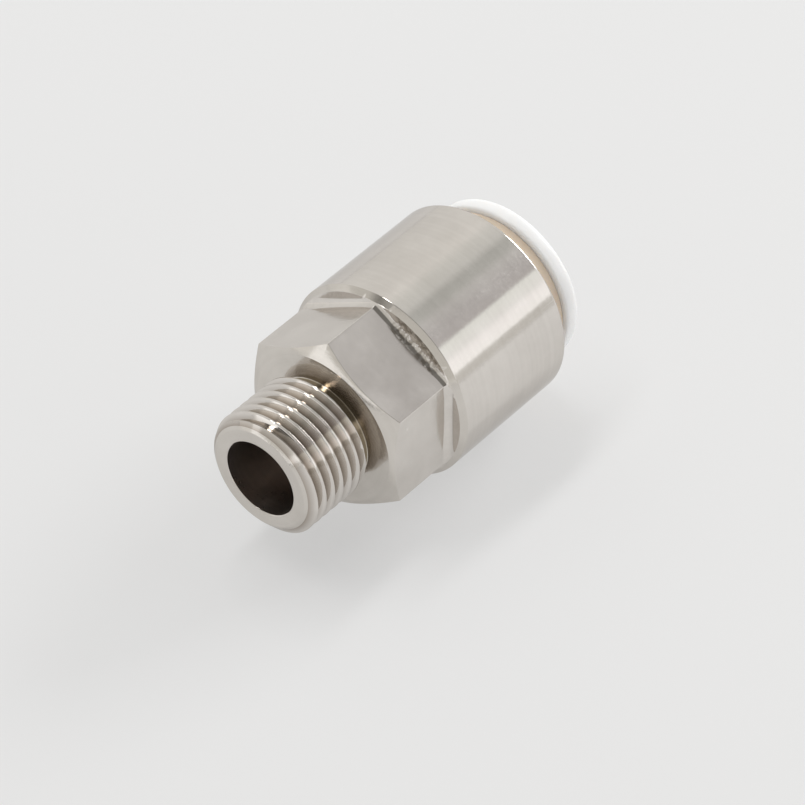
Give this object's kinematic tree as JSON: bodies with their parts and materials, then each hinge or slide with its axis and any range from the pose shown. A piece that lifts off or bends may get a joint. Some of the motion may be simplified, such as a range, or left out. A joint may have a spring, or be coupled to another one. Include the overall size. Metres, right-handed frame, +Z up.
{
  "type": "push to connect fitting",
  "caption": "Straight push-in tube fitting: male parallel pipe thread, hexagon and round metal shell, with a white release button over a sliding collet and spring grip claws.",
  "frame": {"origin": "on the fitting's axis, in the plane of the hexagon's front face, where it seats on its port", "axes": "+X along the axis from the thread to the tube mouth; +Z up as the fitting lies on its shell, through a corner of the hexagon; +Y completes the right-handed frame"},
  "size_m": [0.0279, 0.016, 0.016],
  "materials": {
    "body_metal": "turned, bright nickel tone",
    "seal_rubber": "satin moulded",
    "spacer_plastic": "moulded",
    "spring_steel": "stamped, bright",
    "guide_metal": "turned",
    "collet_plastic": "moulded, beige",
    "button_plastic": "moulded, white, soft gloss"
  },
  "bodies": {
    "fitting_body": {"body": "body_metal", "tube_seal": "seal_rubber", "seal_spacer": "spacer_plastic", "claw_ring": "spring_steel", "guide_ring": "guide_metal"},
    "release_sleeve": {"collet": "collet_plastic"},
    "button": {"release_button": "button_plastic"},
    "claw_01": {"claw_01": "spring_steel"},
    "claw_02": {"claw_02": "spring_steel"},
    "claw_03": {"claw_03": "spring_steel"},
    "claw_04": {"claw_04": "spring_steel"},
    "claw_05": {"claw_05": "spring_steel"},
    "claw_06": {"claw_06": "spring_steel"},
    "claw_07": {"claw_07": "spring_steel"},
    "claw_08": {"claw_08": "spring_steel"},
    "claw_09": {"claw_09": "spring_steel"},
    "claw_10": {"claw_10": "spring_steel"},
    "claw_11": {"claw_11": "spring_steel"},
    "claw_12": {"claw_12": "spring_steel"}
  },
  "joints": [
    {"name": "release_slide", "type": "slide", "parent": "fitting_body", "child": "release_sleeve", "axis": [-1, 0, 0], "range_m": [0, 0.0018], "stiffness_N_per_m": 5000},
    {"name": "button_turn", "type": "hinge", "parent": "release_sleeve", "child": "button", "pos_m": [0.0203, 0, 0], "axis": [1, 0, 0], "continuous": true},
    {"name": "claw_01_open", "type": "hinge", "parent": "fitting_body", "child": "claw_01", "pos_m": [0.0134, 0, 0.00615], "axis": [0, 1, 0], "range_deg": [0, 10]},
    {"name": "claw_02_open", "type": "hinge", "parent": "fitting_body", "child": "claw_02", "pos_m": [0.0134, -0.00308, 0.00533], "axis": [0, 0.866, 0.5], "range_deg": [0, 10]},
    {"name": "claw_03_open", "type": "hinge", "parent": "fitting_body", "child": "claw_03", "pos_m": [0.0134, -0.00533, 0.00308], "axis": [0, 0.5, 0.866], "range_deg": [0, 10]},
    {"name": "claw_04_open", "type": "hinge", "parent": "fitting_body", "child": "claw_04", "pos_m": [0.0134, -0.00615, 0], "axis": [0, 0, 1], "range_deg": [0, 10]},
    {"name": "claw_05_open", "type": "hinge", "parent": "fitting_body", "child": "claw_05", "pos_m": [0.0134, -0.00533, -0.00308], "axis": [0, -0.5, 0.866], "range_deg": [0, 10]},
    {"name": "claw_06_open", "type": "hinge", "parent": "fitting_body", "child": "claw_06", "pos_m": [0.0134, -0.00308, -0.00533], "axis": [0, -0.866, 0.5], "range_deg": [0, 10]},
    {"name": "claw_07_open", "type": "hinge", "parent": "fitting_body", "child": "claw_07", "pos_m": [0.0134, 0, -0.00615], "axis": [0, -1, 0], "range_deg": [0, 10]},
    {"name": "claw_08_open", "type": "hinge", "parent": "fitting_body", "child": "claw_08", "pos_m": [0.0134, 0.00308, -0.00533], "axis": [0, -0.866, -0.5], "range_deg": [0, 10]},
    {"name": "claw_09_open", "type": "hinge", "parent": "fitting_body", "child": "claw_09", "pos_m": [0.0134, 0.00533, -0.00308], "axis": [0, -0.5, -0.866], "range_deg": [0, 10]},
    {"name": "claw_10_open", "type": "hinge", "parent": "fitting_body", "child": "claw_10", "pos_m": [0.0134, 0.00615, 0], "axis": [0, 0, -1], "range_deg": [0, 10]},
    {"name": "claw_11_open", "type": "hinge", "parent": "fitting_body", "child": "claw_11", "pos_m": [0.0134, 0.00533, 0.00308], "axis": [0, 0.5, -0.866], "range_deg": [0, 10]},
    {"name": "claw_12_open", "type": "hinge", "parent": "fitting_body", "child": "claw_12", "pos_m": [0.0134, 0.00308, 0.00533], "axis": [0, 0.866, -0.5], "range_deg": [0, 10]}
  ],
  "couplings": [
    {"joint": "claw_01_open", "follows": "release_slide", "rad_per_m": 96.9},
    {"joint": "claw_02_open", "follows": "release_slide", "rad_per_m": 96.9},
    {"joint": "claw_03_open", "follows": "release_slide", "rad_per_m": 96.9},
    {"joint": "claw_04_open", "follows": "release_slide", "rad_per_m": 96.9},
    {"joint": "claw_05_open", "follows": "release_slide", "rad_per_m": 96.9},
    {"joint": "claw_06_open", "follows": "release_slide", "rad_per_m": 96.9},
    {"joint": "claw_07_open", "follows": "release_slide", "rad_per_m": 96.9},
    {"joint": "claw_08_open", "follows": "release_slide", "rad_per_m": 96.9},
    {"joint": "claw_09_open", "follows": "release_slide", "rad_per_m": 96.9},
    {"joint": "claw_10_open", "follows": "release_slide", "rad_per_m": 96.9},
    {"joint": "claw_11_open", "follows": "release_slide", "rad_per_m": 96.9},
    {"joint": "claw_12_open", "follows": "release_slide", "rad_per_m": 96.9}
  ]
}
